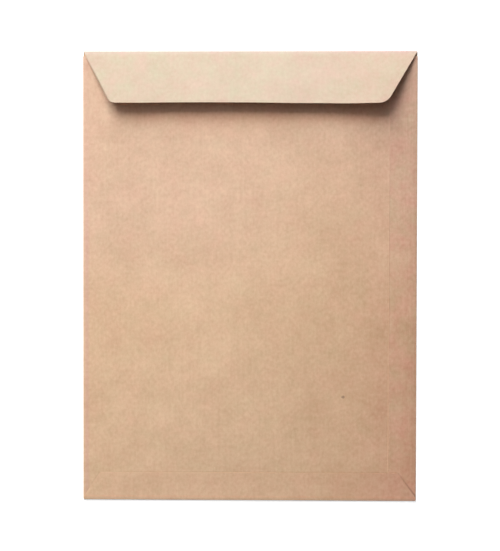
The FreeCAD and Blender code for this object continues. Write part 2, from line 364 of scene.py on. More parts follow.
def displace(name, amount, share_at, direction="Z", texture=None):
    """Move the paper by up to an amount, times the share for each place of the folded sheet."""
    group = sheet.vertex_groups.new(name=name)
    for index, place in enumerate(folded):
        share = share_at(place)
        if share > 0:
            group.add([index], share, "REPLACE")
    lift = sheet.modifiers.new(name, "DISPLACE")
    lift.direction = direction
    lift.strength = amount
    lift.mid_level = 0.5 if texture else 0.0
    lift.vertex_group = name
    if texture:
        lift.texture = texture
        lift.texture_coords = "LOCAL"
    bpy.ops.object.modifier_apply(modifier=name)


def wall_share(place):
    """How much a place belongs to the back wall: 0 on the front panel and the closing flap."""
    if place.y > MOUTH_EDGE + NEAR or place.z > BOTTOM_FLAP_LEVEL + NEAR:
        return 0.0
    return min((place.z - FRONT_LEVEL) / (STRIP_LEVEL - FRONT_LEVEL), 1.0)


def heights(test):
    """How high the places that pass a test lie now, from lowest to highest, in millimetres."""
    found = [vertex.co.z / MM for vertex, place in zip(sheet.data.vertices, folded) if test(place)]
    return round(min(found), 2), round(max(found), 2)


print("back wall, still flat, at", heights(lambda place: near(place.z, BACK_LEVEL)), "mm")

# %% [markdown]
# ## The swelling
#
# The pocket holds a little air, which lifts the back wall like a flat pillow: by up to 3 millimetres
# in its middle, by nothing at the side folds and the bottom fold, and by a little at the open mouth.
# Right beside a side fold the paper also springs up, because the fold wants to open again. A cloth
# simulation with some pressure would swell it too, but this formula keeps the glued layers together.

# %% Lift the back wall
PILLOW_RISE = 3 * MM
NEARER_THE_BOTTOM = 0.75
SLOW_ENDS = 1.4
STEEP_SIDES = 0.8
MOUTH_SHARE = 0.2
ROLL_RISE = 0.25 * MM
ROLL_WAY = 4 * MM
BOTTOM_ROLL_WAY = 6 * ROLL_WAY


def pillow_share(place):
    """The soft swelling of the back wall, most in the middle and a little at the mouth."""
    along = (place.y - BOTTOM_CREASE) / (MOUTH_EDGE - BOTTOM_CREASE)
    across = (place.x - LEFT_CREASE) / (RIGHT_CREASE - LEFT_CREASE)
    if along <= 0 or not 0 < across < 1:
        return 0.0
    along = min(along, 1.0)
    # Half-way up, the mouth already adds a quarter of its share.
    swell = math.sin(math.pi * along ** NEARER_THE_BOTTOM) ** SLOW_ENDS * (1 - MOUTH_SHARE / 4)
    swell += MOUTH_SHARE * along ** 2
    return min(wall_share(place) * swell * math.sin(math.pi * across) ** STEEP_SIDES, 1.0)


def roll_share(place):
    """The paper springs up just beside the side folds, and rises slowly from the bottom fold."""
    from_side = min(place.x - LEFT_CREASE, RIGHT_CREASE - place.x)
    from_bottom = place.y - BOTTOM_CREASE
    if from_side <= 0 or from_bottom <= 0:
        return 0.0
    sides = 1 - math.exp(-from_side / ROLL_WAY)
    return wall_share(place) * sides * ease(from_bottom / BOTTOM_ROLL_WAY)


displace("pillow", PILLOW_RISE, pillow_share)
displace("side_rolls", ROLL_RISE, roll_share)
print("back wall, swollen, at", heights(lambda place: near(place.z, BACK_LEVEL)), "mm")

# %% [markdown]
# ## The loose flap
#
# The closing flap is a free strip, so it doesn't stand straight. It hangs about two millimetres lower
# in shallow waves, all but its right corner, which stays up. Its free edge is drawn back towards the
# fold by just under a millimetre, least at the right. A cloth simulation would make waves of its own,
# and a formula puts them where the real sheet has them.

# %% Lower the closing flap
FLAP_DROP = 2.5 * MM
FLAP_BOW = 0.35
WAVE = {"mean": 0.82, "depth": 0.08, "start": -81 * MM, "pace": 8.9 * MM}
RAISED_CORNER = {"start": 62 * MM, "way": 40 * MM}
FLAP_DRAW = 0.9 * MM
EVEN_DRAW = 0.35
LEFT_END_DRAW = 0.55
DRAWN = {"left": -82 * MM, "left_way": 20 * MM, "right": -10 * MM, "right_way": 50 * MM}
HELD = {"x": 76 * MM, "way": 16 * MM}


def flap_way(place):
    """How far out on the closing flap a place lies: 0 up to its fold and near 1 at its free edge."""
    if place.z <= BOTTOM_FLAP_LEVEL + NEAR:
        return 0.0
    return max(FLAP_CREASE - place.y, 0.0) / CLOSING_FLAP["length"]


def flap_drop_share(place):
    """How much lower the flap lies: all of it but its right corner, with shallow waves."""
    way = flap_way(place)
    bow = way * (1 + FLAP_BOW - FLAP_BOW * way)
    wave = WAVE["mean"] + WAVE["depth"] * math.sin((place.x - WAVE["start"]) / WAVE["pace"])
    return bow * wave * (1 - ease((place.x - RAISED_CORNER["start"]) / RAISED_CORNER["way"]))


def flap_draw_share(place):
    """How much the free edge is drawn back towards the fold: most along its left and middle."""
    from_left = ease((place.x - DRAWN["left"]) / DRAWN["left_way"])
    to_right = 1 - ease((place.x - DRAWN["right"]) / DRAWN["right_way"])
    drawn = (LEFT_END_DRAW + (1 - LEFT_END_DRAW) * from_left) * to_right
    held = math.exp(-((place.x - HELD["x"]) / HELD["way"]) ** 2)
    return flap_way(place) ** 2 * (EVEN_DRAW * (1 - held) + (1 - EVEN_DRAW) * drawn)


displace("flap_drop", -FLAP_DROP, flap_drop_share)
displace("flap_draw", FLAP_DRAW, flap_draw_share, direction="Y")
print("free edge of the closing flap at", heights(lambda place: flap_way(place) > 0.96), "mm")

# %% [markdown]
# ## The bottom flap's end and the cockles
#
# The right end of the bottom flap isn't glued to its very tip, and stands up by half a millimetre.
# And as paper takes up damp unevenly, the whole back wall cockles softly, by a few tenths of a
# millimetre. The cockles could be pushed up one by one with a sculpting brush, but a large clouds
# texture in the same kind of modifier does it in one go.

# %% Lift the bottom flap's end and cockle the wall
BOTTOM_END = {"lift": 0.5 * MM, "loose_way": 9 * MM, "start_way": 7 * MM}
COCKLE = 0.35 * MM
COCKLE_SIZE = 45 * MM


def bottom_end_share(place):
    """How much the right end of the bottom flap stands up."""
    if not near(place.z, BOTTOM_FLAP_LEVEL) or place.y > MOUTH_EDGE:
        return 0.0
    climbed = place.y - BOTTOM_CREASE
    end = high.x - BOTTOM_FLAP["right"] * climbed / BOTTOM_FLAP["length"]
    loose = ease(1 - (end - place.x) / BOTTOM_END["loose_way"])
    return loose * ease(climbed / BOTTOM_END["start_way"])


cockle_texture = bpy.data.textures.new("cockle", "CLOUDS")
cockle_texture.noise_scale = COCKLE_SIZE
cockle_texture.noise_depth = 1

displace("bottom_end", BOTTOM_END["lift"], bottom_end_share)
displace("cockle", COCKLE, roll_share, texture=cockle_texture)
print("back wall, cockled, at", heights(lambda place: near(place.z, BACK_LEVEL)), "mm")

# %% [markdown]
# ## Give the paper its thickness
#
# So far the sheet is only the middle of the paper. Solidify moves a copy of it out to each side, by
# half the gauge, and closes the cut edges between them. It can give the inner face and the cut edges
# a material of their own, which is how the paper gets its duller inside and its raw cut edge.

# %% Thickness
SMOOTH_BELOW = math.radians(40)

two_faces = sheet.modifiers.new("two_faces", "SOLIDIFY")
two_faces.thickness = GAUGE
two_faces.offset = 0
two_faces.material_offset = 1
two_faces.material_offset_rim = 2
for name in ("kraft_outside", "kraft_inside", "kraft_cut_edge"):
    sheet.data.materials.append(bpy.data.materials.new(name))
bpy.ops.object.modifier_apply(modifier="two_faces")
bpy.ops.object.shade_smooth_by_angle(angle=SMOOTH_BELOW)
triangles = sum(len(face.vertices) - 2 for face in sheet.data.polygons)
print("envelope", len(sheet.data.polygons), "faces,", triangles, "triangles")

# %% [markdown]
# ## Writing shaders as sums
#
# A shader is a formula. It could be wired up node by node, but a formula is easier to read as one.
# The class below wraps a socket, so that a sum on it adds its Math node. Its node method adds a node
# of any kind: the settings come first, and then the values or links of its sockets.

# %% A wire between nodes
class Wire:
    """An output socket of a node tree that can be used in sums like a number."""

    def __init__(self, tree, socket=None):
        self.tree = tree
        self.socket = socket

    def node(self, kind, inputs=None, output=0, **settings):
        """Add a node and return one of its outputs, if it has any."""
        made = self.tree.nodes.new(kind)
        for setting, value in settings.items():
            setattr(made, setting, value)
        for place, value in (inputs or {}).items():
            if isinstance(value, Wire):
                self.tree.links.new(value.socket, made.inputs[place])
            else:
                made.inputs[place].default_value = value
        return Wire(self.tree, made.outputs[output] if made.outputs else None)

    def math(self, operation, first, second=0.0, third=0.0):
        """Add a Math node."""
        return self.node("ShaderNodeMath", {0: first, 1: second, 2: third}, operation=operation)

    def split(self):
        """The parts of a vector, each as a wire."""
        first = self.node("ShaderNodeSeparateXYZ", {0: self})
        return [Wire(self.tree, socket) for socket in first.socket.node.outputs]

    def __add__(self, other):
        return self.math("ADD", self, other)

    def __sub__(self, other):
        return self.math("SUBTRACT", self, other)

    def __rsub__(self, other):
        return self.math("SUBTRACT", other, self)

    def __mul__(self, other):
        return self.math("MULTIPLY", self, other)

    def __truediv__(self, other):
        return self.math("DIVIDE", self, other)

    __radd__ = __add__
    __rmul__ = __mul__


def start_material(material):
    """Empty a material's node tree and return a wire that adds nodes to it."""
    material.use_nodes = True
    material.node_tree.nodes.clear()
    return Wire(material.node_tree)


print("wires can be added, subtracted, multiplied and divided")

# %% [markdown]
# ## Marks and patterns on the blank
#
# What belongs to the paper is placed on the flat blank. A step is 0 on one side of a line and 1 on
# the other, a band is 1 on the line, and a noise is a pattern of soft spots whose size is given in
# millimetres, across and along. The fibres of machine-made paper lie along the machine's way, so
# their spots are long and narrow.

# %% Helpers for patterns
def step_at(wire, value, edge, width):
    """0 before an edge and 1 after it, with a soft step of some width."""
    return wire.node("ShaderNodeMapRange", {0: value, 1: edge - width / 2, 2: edge + width / 2},
                     interpolation_type="SMOOTHSTEP")


def band_at(wire, value, middle, width):
    """1 on a line, falling softly to 0 at half a width on each side of it."""
    off = wire.math("ABSOLUTE", value - middle)
    return 1 - wire.node("ShaderNodeMapRange", {0: off, 1: 0.0, 2: width / 2},
                         interpolation_type="SMOOTHSTEP")


def spots(wire, blank, across, along, detail=2.0, rough=0.5, turn=0.0):
    """Soft noise about zero, from -1 to 1, with spots of a size in millimetres."""
    placed = wire.node("ShaderNodeMapping", {
        "Vector": blank, "Rotation": (0, 0, turn), "Scale": (1 / (across * MM), 1 / (along * MM), 1)})
    noise = wire.node("ShaderNodeTexNoise", {
        "Vector": placed, "Scale": 1.0, "Detail": detail, "Roughness": rough})
    return (noise - 0.5) * 2


def off_line(x, y, start, end):
    """How far a place lies to the left of the way from start to end."""
    way = (Vector(end) - Vector(start)).normalized()
    return (y - start[1]) * way.x - (x - start[0]) * way.y


def tint(wire, colour, other, share):
    """Mix a second colour in by a share."""
    return wire.node("ShaderNodeMix", {0: share, 6: colour, 7: other}, output=2, data_type="RGBA")


# The tones it adds are the paper's own, and on the outside also painted shade, light and sheen.
def apply_tones(wire, colour, tones):
    """Multiply a colour by 1 plus its tones, each a share and a change of red, green and blue."""
    gains = (1, 1, 1)
    for share, change in tones:
        gains = wire.node("ShaderNodeVectorMath", {0: share, 1: change, 2: gains},
                          operation="MULTIPLY_ADD")
    return wire.node("ShaderNodeVectorMath", {0: colour, 1: gains}, operation="MULTIPLY")


print("pattern helpers ready")

# %% [markdown]
# ## Kraft paper
#
# Kraft paper is unbleached, so it keeps the brown of the wood, and it is never one even brown. Large
# clouds come from how the pulp settled, small ones from clumps of fibre, and faint ribs from the
# machine's felt. Each of these is a noise on the blank with spots of its own size. The fine ones are
# made once and used twice, for the colour and for the bump, so that light and colour agree.

# %% Patterns of the paper
CLOUD_TURN = math.radians(35)


def paper_patterns(wire, blank):
    """The soft noises of the paper, each from -1 to 1."""
    return SimpleNamespace(
        mottle=spots(wire, blank, across=60, along=50, detail=4, rough=0.95, turn=CLOUD_TURN),
        redness=spots(wire, blank, across=16, along=18, detail=3, rough=0.65),
        clumps=spots(wire, blank, across=2.4, along=2.8, detail=2, rough=0.6),
        fibres=spots(wire, blank, across=0.5, along=4.5, detail=2),
        ribs=spots(wire, blank, across=1.9, along=90, detail=1),
        creases=spots(wire, blank, across=1.2, along=35, detail=2),
        flecks=spots(wire, blank, across=0.9, along=1.4, detail=1))


def paper_parts(wire, place):
    """Masks of the sheet's parts: 1 on the part and 0 off it, from where it lies on the blank."""
    strip = step_at(wire, place.across, RIGHT_CREASE + 0.8 * MM, 0.6 * MM)
    back = step_at(wire, -1 * place.across, -LEFT_CREASE + 0.8 * MM, 0.6 * MM)
    bottom = step_at(wire, -1 * place.along, -BOTTOM_CREASE + 0.6 * MM, 0.6 * MM)
    flap = step_at(wire, place.along, FLAP_CREASE - 0.2 * MM, 0.5 * MM)
    wall = strip + back
    return SimpleNamespace(strip=strip, wall=wall, bottom=bottom, flap=flap,
                           upper_side=wire.math("MAXIMUM", wall, bottom))


print("patterns and parts ready")

# %% [markdown]
# ## Colours and folds
#
# The closing flap is a shaded, greyer copy of the kraft: painted shade for the extra light that its
# tilt catches, and painted sheen, paler in hue, for its glare. The seam strip is a little redder. At a
# fold the fibres crack, so a reddish band runs along the left fold and a thin line along the bottom
# one. A material of its own for each would end sharply at an edge of the mesh, so each is a second
# colour that is mixed in by a mask. The low sheen of paper is one number, the same all over.

# %% Colours of the parts
PAPER_SHEEN = 0.3
KRAFT = (0.712, 0.473, 0.300, 1)
# The closing flap's colour: painted shade for the extra light on its tilt, and painted sheen, paler and
# greyer.
FLAP_SHADE_AND_SHEEN = (0.594, 0.474, 0.354, 1)
SEAM_STRIP = (0.706, 0.462, 0.298, 1)
FOLD_BAND = (0.685, 0.426, 0.303, 1)
FOLD_LINE = (0.75, 0.455, 0.287, 1)
FOLD_BAND_FADE = 0.7
FOLD_LINE_SHARE = 0.8


def part_colours(wire, place, parts):
    """The colour of each part of the sheet, with the bands beside its folds."""
    left_fold = band_at(wire, place.across, LEFT_CREASE - 3.6 * MM, 6 * MM)
    fading_upwards = 1 - step_at(wire, place.y, 60 * MM, 120 * MM) * FOLD_BAND_FADE
    bottom_fold = band_at(wire, place.along, BOTTOM_CREASE - 3.8 * MM, 2.4 * MM)
    colour = tint(wire, KRAFT, SEAM_STRIP, parts.strip)
    colour = tint(wire, colour, FOLD_BAND, left_fold * fading_upwards)
    colour = tint(wire, colour, FOLD_LINE, bottom_fold * FOLD_LINE_SHARE)
    # The closing flap gets its colour of painted shade and painted sheen.
    return tint(wire, colour, FLAP_SHADE_AND_SHEEN, parts.flap)


print("kraft", KRAFT[:3], "closing flap", FLAP_SHADE_AND_SHEEN[:3])

# %% [markdown]
# ## Dark lines, painted shade and a speck
#
# The wall is darker beside the bottom flap's free edge, in a line that breaks off here and there.
# The bottom flap's right end isn't glued down, and painted shade darkens the gap beside it. Painted
# shade also runs along the closing flap's left end. Flecks of bark are in all of the paper, and one
# larger speck is on the wall. Thin strips of mesh could be laid on for them, but they are drawn in the
# colour instead. The lines among them run between two points, and are bands on the distance from such a
# line.

# %% Dark lines, painted shade and flecks
DARK_EDGE_LINE = (0.50, 0.31, 0.19, 1)
# The colour of the painted shade in gaps and along the closing flap's left end.
PAINTED_SHADE = (0.27, 0.17, 0.11, 1)
BARK = (0.20, 0.11, 0.07, 1)
SPECK = {"x": 72.8 * MM, "y": -93.7 * MM, "across": 1.4 * MM, "along": 1.2 * MM}
SHARE = {"dark_free_edge": 0.6, "dark_left_end": 0.15, "gap_shade": 0.24, "gap_shade_at_corner": 0.42,
         "rim_shade": 0.1, "rim_shade_at_corner": 0.82, "bark": 0.25, "speck": 0.6}


def bottom_flap_marks(wire, place, paper):
    """Shares of the dark line by the bottom flap's edge and of the painted shade in its end gap."""
    x, y = place.x, place.y
    left_end = ((LEFT_CREASE, BOTTOM_CREASE + BOTTOM_FLAP["shoulder"]),
                (LEFT_CREASE + BOTTOM_FLAP["left"], BOTTOM_FLAP_EDGE))
    right_end = ((RIGHT_CREASE, BOTTOM_CREASE + BOTTOM_FLAP["shoulder"]),
                 (RIGHT_CREASE - BOTTOM_FLAP["right"], BOTTOM_FLAP_EDGE))
    below_edge = 1 - step_at(wire, y, BOTTOM_FLAP_EDGE + 0.5 * MM, 1 * MM)
    between = step_at(wire, x, left_end[1][0], 1 * MM) - step_at(wire, x, right_end[1][0], 1 * MM)
    broken = step_at(wire, paper.mottle, 0.0, 0.3) * 0.5 + 0.5
    faint_at_left = step_at(wire, x, -80 * MM, 60 * MM) * 0.6 + 0.4
    free_edge = band_at(wire, y, BOTTOM_FLAP_EDGE + 0.3 * MM, 1.8 * MM) * between
    left_line = band_at(wire, off_line(x, y, *left_end), 0.5 * MM, 1.6 * MM) * below_edge
    # Painted shade in the gap beside the bottom flap's loose right end, strongest at its corner.
    right_line = band_at(wire, off_line(x, y, *right_end), -0.7 * MM, 2.2 * MM) * below_edge
    toward_corner = 1 - step_at(wire, y, BOTTOM_FLAP_EDGE - 9 * MM, 16 * MM)
    edge_darkening = free_edge * broken * faint_at_left * SHARE["dark_free_edge"] + left_line * SHARE["dark_left_end"]
    return edge_darkening, right_line * (toward_corner * SHARE["gap_shade_at_corner"] + SHARE["gap_shade"])


def flap_end_shade(wire, place):
    """Share of the painted shade along the closing flap's left end, stronger towards its corner."""
    start = (LEFT_CREASE, FLAP_CREASE + (BOTTOM_FLAP_LEVEL - FRONT_LEVEL) * FOLD_WAY)
    end = (start[0] + CLOSING_FLAP["left"], start[1] + CLOSING_FLAP["length"])
    rim_shade = band_at(wire, off_line(place.across, place.along, start, end), 0.1 * MM, 2.8 * MM)
    toward_corner = step_at(wire, place.along, start[1] + 13 * MM, 20 * MM)
    return rim_shade * (toward_corner * SHARE["rim_shade_at_corner"] + SHARE["rim_shade"])


def speck_share(wire, place, paper):
    """1 in the middle of the speck, with a ragged soft outline."""
    off_x = (place.x - SPECK["x"]) / SPECK["across"]
    off_y = (place.y - SPECK["y"]) / SPECK["along"]
    ragged = off_x * off_x + off_y * off_y + paper.clumps * 0.8
    return 1 - step_at(wire, ragged, 0.9, 1.1)


def add_marks(wire, colour, place, parts, paper):
    """Draw the marks over the colours of the parts."""
    edge_darkening, gap_shade = bottom_flap_marks(wire, place, paper)
    colour = tint(wire, colour, DARK_EDGE_LINE, edge_darkening * parts.wall)
    # Painted shade: in the gap by the bottom flap's right end, and along the closing flap's left end.
    colour = tint(wire, colour, PAINTED_SHADE, gap_shade * parts.wall + flap_end_shade(wire, place) * parts.flap)
    colour = tint(wire, colour, BARK, step_at(wire, paper.flecks, 0.62, 0.1) * SHARE["bark"])
    return tint(wire, colour, BARK, speck_share(wire, place, paper) * parts.wall * SHARE["speck"])


print("speck at", [round(SPECK[way] / MM, 1) for way in ("x", "y")], "mm")

# %% [markdown]
# ## Soft areas
#
# The paper has no sharp borders between its shades, so the tones that come next need soft areas: all
# on one side of a line, or a band along one. They could be painted by hand on an image, but a table
# of places says the same and can be read. Each line of it names the way that is measured, whether
# the area is before the line, after it or a band on it, where the line is, and how wide the soft
# border or the band is, in millimetres.

# %% Table of soft areas
AREAS = {
    "lower_half": ("y", "before", -60, 200),
    "lower_third": ("y", "before", -75, 50),
    "lower_end": ("y", "before", -100, 90),
    "upper_half": ("y", "band", 60, 110),
    "above_middle": ("y", "band", 45, 170),
    "at_flap_edge": ("y", "band", 126.5, 27),
    "below_flap_edge": ("y", "band", 113, 20),
    "upwards": ("along", "after", -40, 240),
    "upper_end": ("along", "after", 60, 200),
    "left_half": ("x", "before", 10, 130),
    "left_of_middle": ("x", "band", -50, 190),
    "middle_of_left_half": ("x", "band", -60, 66),
    "middle": ("x", "band", -20, 200),
    "seam_half": ("x", "after", 60, 105),
    "near_seam": ("x", "after", 92, 50),
    "right_corner": ("x", "after", 95, 40),
    "beside_right_fold": ("x", "after", 119, 13),
    "from_flap_left": ("x", "after", -101, 24),
    "to_flap_right": ("x", "before", 103, 24),
    "flap_left_part": ("x", "before", -30, 170),
    "flap_right_half": ("x", "after", 33, 24),
    "flap_right_end": ("x", "after", 80, 60),
}


def soft_area(wire, place, name):
    """The mask of a soft area, from its line in the table."""
    way, side, line, width = AREAS[name]
    value = getattr(place, way)
    if side == "band":
        return band_at(wire, value, line * MM, width * MM)
    after = step_at(wire, value, line * MM, width * MM)
    return after if side == "after" else 1 - after


print(len(AREAS), "soft areas")

# %% [markdown]
# ## Tones
#
# Over the colours lie soft tones. A tone is a change of red, green and blue, as parts of the colour,
# and a mask says where it is in full. A dark cloud is also a browner one, so its blue changes most.
# Towards the seam the sheet is darker and redder, as painted shade, and the seam's own edge is paler,
# as painted light over the thin shadow of the back panel's edge. Low down at the left the sheet is
# paler. Along the closing flap's edge the wall is warmer, as a painted tint of the flap's shadow, with
# a band of painted light below, where that shadow ends. Each could be one more colour to mix in, but
# changes that are added up don't depend on their order.

# %% Table of tones
TONES = {
    "clouds": (0.224, 0.28, 0.35),
    "grain": (0.62, 1.08, 1.3),
    "redness": (1, -1, 0),
    # Streaks beside the right fold, and painted shade that darkens it low down.
    "fold_streaks_and_shade": (0.072, 0.09, 0.113),
    "pale_middle": (0.024, 0.03, 0.038),
    "pale_low_left": (0.036, 0.045, 0.056),
    # Painted sheen: a bluer, paler hue towards the top left and the top end, nearest the lamps.
    "cool_left": (0, 0, 0.045),
    "cool_upper_end": (0, 0, 0.095),
    # Painted shade: darker and redder towards the seam, and in a band near it.
    "seam_side_shade": (-0.104, -0.162, -0.182),
    "near_seam": (-0.028, -0.064, -0.049),
    # Painted light on the seam's edge, over the thin shadow of the back panel's edge.
    "seam_edge_painted_light": (0.14, 0.14, 0.14),
    "strip_upper_half": (-0.045, -0.035, -0.045),
    "strip_lower_end": (0.045, 0.03, 0.05),
    # Painted shade colour along the closing flap's edge, a warmer tint of its shadow, and painted light
    # below, where that shadow ends.
    "flap_shadow_tint": (0, -0.13, -0.19),
    "flap_shadow_end_light": (0.05, 0.037, 0.035),
    "bottom_flap": (0.035, 0.015, 0.025),
    # The roll of the bottom fold is paler: cracked fibres, and painted light on a roll that turns from the
    # lamps.
    "bottom_fold_cracks_and_light": (0.4, 0.46, 0.54),
    "bottom_right": (0, -0.03, 0),
    # Painted shade at the closing flap's two ends, where its tilt and raised corner catch more light.
    "flap_left_end": (-0.032, -0.04, -0.05),
    "flap_right_end": (-0.04, -0.05, -0.063),
    "flap_rosy_half": (0, -0.04, -0.03),
    # A bluish painted sheen along the closing flap's fold, and painted shade on its rim, which faces the
    # lamps.
    "flap_fold_shade_and_sheen": (-0.04, -0.05, 0.048),
    "flap_ridge_shade": (-0.096, -0.12, -0.15),
}
print(len(TONES), "tones")

# %% [markdown]
# ## Where each tone lies
#
# Now each tone gets its mask. A mask is a part of the sheet, a soft area or a pattern of the paper,
# or some of these multiplied, so that the tone is only where they meet. Painting weights by hand
# would do for one envelope, but a product of names says what was meant, and is easy to change.

# %% Masks of the tones
GRAIN = {"clumps": 0.17, "fibres": 0.055, "ribs": 0.045}
REDNESS = {"everywhere": 0.047, "flap": 0.065, "strip": 0.055}
FLAP_CALM = 0.4
SEAM_SIDE_FADE = 0.69
SEAM_EDGE_LIGHT_SHARE = 0.55


def paper_shares(parts, paper):
    """Masks of the tones in the paper itself. On the flap, clouds and grain are calmer."""
    calm = 1 - parts.flap * FLAP_CALM
    grain = paper.clumps * GRAIN["clumps"] + paper.fibres * GRAIN["fibres"] + paper.ribs * GRAIN["ribs"]
    red = REDNESS["everywhere"] + parts.flap * REDNESS["flap"] + parts.strip * REDNESS["strip"]
    return {"clouds": paper.mottle * calm, "grain": grain * calm, "redness": paper.redness * red}


def wall_shares(wire, place, parts, paper):
    """Masks of the tones on the upper side of the pocket."""
    area = partial(soft_area, wire, place)
    flap_span = area("from_flap_left") * area("to_flap_right")
    # Painted light along the seam's edge, over its thin shadow.
    seam_edge_light = band_at(wire, place.x, SEAM_EDGE - 0.1 * MM, 2.6 * MM)
    bottom_fold_roll = band_at(wire, place.along, BOTTOM_CREASE - 0.8 * MM, 2.4 * MM)
    # Painted shade towards the seam.
    seam_side_shade = area("seam_half") * (1 - area("upwards") * SEAM_SIDE_FADE)
    return {
        # Streaks beside the right fold, with painted shade low down.
        "fold_streaks_and_shade": (paper.creases - area("lower_half")) * area("beside_right_fold") * parts.wall,
        "pale_middle": area("left_of_middle") * parts.upper_side,
        "pale_low_left": area("middle_of_left_half") * area("lower_third") * parts.upper_side,
        # Painted sheen, bluer towards the top left and the top end.
        "cool_left": area("above_middle") * area("left_half") * parts.upper_side,
        "cool_upper_end": area("upper_end") * parts.upper_side,
        "seam_side_shade": seam_side_shade * parts.upper_side,
        "near_seam": area("near_seam") * parts.upper_side,
        "seam_edge_painted_light": seam_edge_light * (SEAM_EDGE_LIGHT_SHARE + area("lower_half")) * parts.wall,
        "strip_upper_half": area("upper_half") * parts.strip,
        "strip_lower_end": area("lower_end") * parts.strip,
        # Painted warm shadow tint along the flap's edge, and painted light below it.
        "flap_shadow_tint": area("at_flap_edge") * flap_span * parts.wall,
        "flap_shadow_end_light": area("below_flap_edge") * area("middle"),
        "bottom_flap": parts.bottom,
        # Paler fold roll: cracked fibres and painted light.
        "bottom_fold_cracks_and_light": bottom_fold_roll,
        "bottom_right": area("right_corner") * parts.bottom,
    }


def flap_shares(wire, place, parts):
    """Masks of the tones on the closing flap."""
    area = partial(soft_area, wire, place)
    return {
        # Painted shade at both ends of the closing flap.
        "flap_left_end": area("flap_left_part") * parts.flap,
        "flap_right_end": area("flap_right_end") * parts.flap,
        "flap_rosy_half": area("flap_right_half") * parts.flap,
        # Bluish painted sheen along the flap's fold, and painted shade on its rim.
        "flap_fold_shade_and_sheen": band_at(wire, place.along, FLAP_CREASE + 1.5 * MM, 6 * MM),
        "flap_ridge_shade": band_at(wire, place.along, FLAP_CREASE + 0.8 * MM, 2.6 * MM),
    }


print("masks for the paper, the pocket and the closing flap")

# %% [markdown]
# ## The outside of the paper
#
# Now the outer face is put together: the colours of the parts, the marks on them, and the tones over
# both. Places come from two maps. The blank is for what belongs to the paper, and the object's own
# coordinates are for what belongs to the place where the folded sheet lies. The same fibres, clumps
# and ribs that tint the paper are its relief, which is too fine to be modelled, so it is a bump.

# %% Outside of the paper
RELIEF = {"fibres": 0.6, "clumps": 0.5, "ribs": 0.35}
RELIEF_DEPTH = 0.02 * MM
OUTSIDE_RELIEF = 0.35
OUTSIDE_ROUGHNESS = 0.62


def paper_outside(material):
    """The outer face of the sheet: nearly all that shows from above."""
    wire = start_material(material)
    blank = wire.node("ShaderNodeUVMap", uv_map="blank")
    across, along, _ = blank.split()
    x, y, _ = wire.node("ShaderNodeTexCoord", output="Object").split()
    place = SimpleNamespace(x=x, y=y, across=across, along=along)
    paper = paper_patterns(wire, blank)
    parts = paper_parts(wire, place)

    colour = part_colours(wire, place, parts)
    colour = add_marks(wire, colour, place, parts, paper)
    shares = {**paper_shares(parts, paper), **wall_shares(wire, place, parts, paper),
              **flap_shares(wire, place, parts)}
    colour = apply_tones(wire, colour, [(shares[name], TONES[name]) for name in TONES])

    height = paper.fibres * RELIEF["fibres"] + paper.clumps * RELIEF["clumps"]
    height = height + paper.ribs * RELIEF["ribs"]
    bump = wire.node("ShaderNodeBump", {
        "Strength": OUTSIDE_RELIEF, "Distance": RELIEF_DEPTH, "Height": height})
    shader = wire.node("ShaderNodeBsdfPrincipled", {
        "Base Color": colour, "Roughness": OUTSIDE_ROUGHNESS + paper.fibres * 0.06, "Normal": bump,
        "Specular IOR Level": PAPER_SHEEN})
    wire.node("ShaderNodeOutputMaterial", {0: shader})


paper_outside(bpy.data.materials["kraft_outside"])
print("outside of the paper", len(bpy.data.materials["kraft_outside"].node_tree.nodes), "nodes")

# %% [markdown]
# ## Inside and cut edge
#
# The inside of the sheet was not pressed, so it is duller, and it only shows under the closing flap.
# The cut edge is raw fibre. Its colour is darker than the two faces, as painted shade, so that it
# draws a thin dark line round the flaps. Both use the same small recipe, with fewer patterns than the
# outside.

# %% Inside and cut edge of the paper
INSIDE = {"colour": (0.71, 0.455, 0.268), "roughness": 0.75}
# The cut edge's dark colour is painted shade.
CUT_EDGE = {"colour": (0.48, 0.33, 0.215), "roughness": 0.85}
PLAIN_TONES = {"clumps": (0.07,) * 3, "fibres": (0.06,) * 3, "clouds": (0.04,) * 3}
PLAIN_RELIEF = 0.5


def paper_plain(material, colour, roughness):
    """A face of the paper with only its clumps, fibres and clouds."""
    wire = start_material(material)
    blank = wire.node("ShaderNodeUVMap", uv_map="blank")
    patterns = {
        "clumps": spots(wire, blank, across=1.6, along=2.0, detail=3),
        "fibres": spots(wire, blank, across=0.5, along=4.5, detail=2),
        "clouds": spots(wire, blank, across=40, along=28),
    }
    shade = apply_tones(wire, colour, [(patterns[name], PLAIN_TONES[name]) for name in PLAIN_TONES])
    height = patterns["fibres"] * RELIEF["fibres"] + patterns["clumps"] * RELIEF["clumps"]
    bump = wire.node("ShaderNodeBump", {
        "Strength": PLAIN_RELIEF, "Distance": RELIEF_DEPTH, "Height": height})
    shader = wire.node("ShaderNodeBsdfPrincipled", {
        "Base Color": shade, "Roughness": roughness + patterns["fibres"] * 0.05, "Normal": bump,
        "Specular IOR Level": PAPER_SHEEN})
    wire.node("ShaderNodeOutputMaterial", {0: shader})


paper_plain(bpy.data.materials["kraft_inside"], **INSIDE)
paper_plain(bpy.data.materials["kraft_cut_edge"], **CUT_EDGE)
print("inside and cut edge of the paper")

# %% [markdown]
# ## Join the frame
#
# The frame has the envelope as a plain solid, true in its folds and sizes, but without waves and
# cockles. It could be kept and only painted. The finished sheet takes its place instead, lies where
# the solid lay, and rides on the frame's one body.

# %% Ride on the frame
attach(sheet, "root")
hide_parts("envelope")
print(sheet.name, "takes the place of the plain envelope")

# %% [markdown]
# ## Floor
#
# A product photo shows its object on white. The floor is a plain pale surface that takes the
# envelope's shadow. It is lit like everything else, and some white is added only where it is seen, so
# that it reads as white without more light on the paper. Far out, where the lamps hardly reach, more
# is added, so that a low view has no grey horizon. Stronger lamps would whiten the floor as well, but
# they would bleach the paper too.

